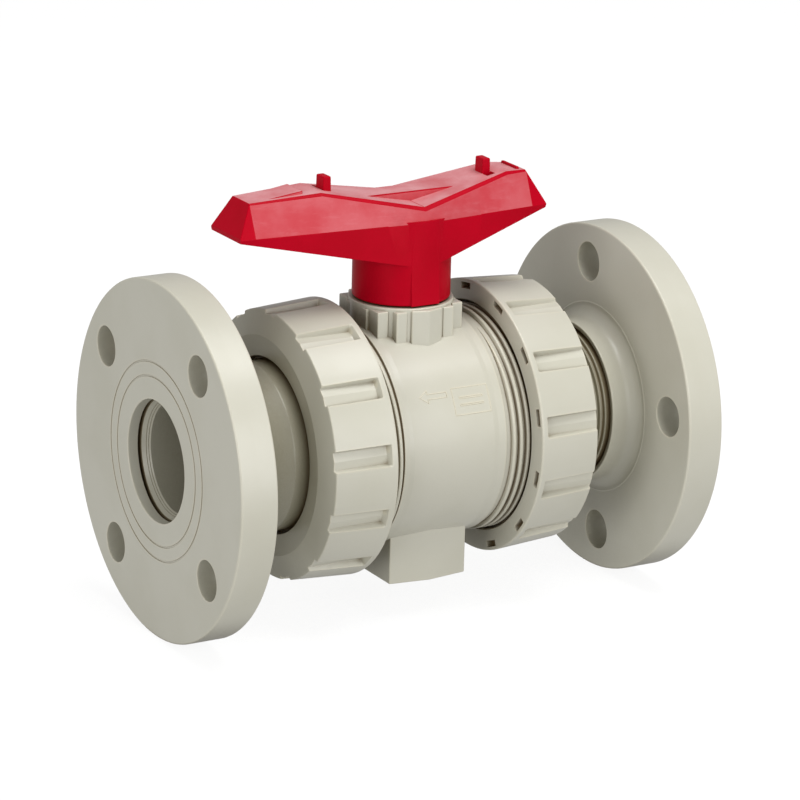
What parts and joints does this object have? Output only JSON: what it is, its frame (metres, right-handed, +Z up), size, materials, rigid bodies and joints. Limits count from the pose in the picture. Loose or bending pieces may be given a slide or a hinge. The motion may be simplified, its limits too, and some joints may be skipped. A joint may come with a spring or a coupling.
{
  "type": "flanged true-union ball valve",
  "caption": "Plastic quarter-turn ball valve for a pipeline, with a two-armed handle, screwed union nuts and flanged ends.",
  "frame": {"origin": "where the stem axis meets the pipe axis, at the centre of the ball", "axes": "+X along the pipe towards the right-hand flange, +Z up the stem towards the handle"},
  "size_m": [0.2404, 0.16, 0.199],
  "materials": {
    "shell": "moulded beige-grey polypropylene, semi-gloss",
    "handle": "moulded red, semi-gloss",
    "seat": "machined white fluoroplastic",
    "seal": "moulded black rubber"
  },
  "bodies": {
    "valve_body": {"valve_body": "shell", "seat_carrier": "shell", "seat_carrier_ring": "seal", "seat_left": "seat", "seat_right": "seat", "seat_ring_left": "seal", "seat_ring_right": "seal", "face_ring_left": "seal", "face_ring_right": "seal", "stem_washer": "seat"},
    "stem": {"stem": "shell", "stem_ring_lower": "seal", "stem_ring_upper": "seal"},
    "ball": {"ball": "shell"},
    "handle": {"handle": "handle"},
    "end_left": {"end_connector_left": "shell", "flange_left": "shell"},
    "end_right": {"end_connector_right": "shell", "flange_right": "shell"},
    "nut_left": {"union_nut_left": "shell"},
    "nut_right": {"union_nut_right": "shell"}
  },
  "joints": [
    {"name": "stem_turn", "type": "hinge", "parent": "valve_body", "child": "stem", "pos_m": [0, 0, 0.05], "axis": [0, 0, -1], "range_deg": [0, 90]},
    {"name": "ball_turn", "type": "hinge", "parent": "valve_body", "child": "ball", "pos_m": [0, 0, 0], "axis": [0, 0, -1], "range_deg": [0, 90]},
    {"name": "handle_lift", "type": "slide", "parent": "stem", "child": "handle", "axis": [0, 0, 1], "range_m": [0, 0.02]},
    {"name": "union_slide_left", "type": "slide", "parent": "valve_body", "child": "end_left", "axis": [-1, 0, 0], "range_m": [0, 0.0221]},
    {"name": "nut_turn_left", "type": "hinge", "parent": "end_left", "child": "nut_left", "pos_m": [-0.05, 0, 0], "axis": [-1, 0, 0], "range_deg": [0, 2200]},
    {"name": "union_slide_right", "type": "slide", "parent": "valve_body", "child": "end_right", "axis": [1, 0, 0], "range_m": [0, 0.0221]},
    {"name": "nut_turn_right", "type": "hinge", "parent": "end_right", "child": "nut_right", "pos_m": [0.05, 0, 0], "axis": [1, 0, 0], "range_deg": [0, 2200]}
  ],
  "couplings": [
    {"joint": "ball_turn", "follows": "stem_turn", "ratio": 1},
    {"joint": "union_slide_left", "follows": "nut_turn_left", "m_per_rad": 0.00057296},
    {"joint": "union_slide_right", "follows": "nut_turn_right", "m_per_rad": 0.00057296}
  ]
}
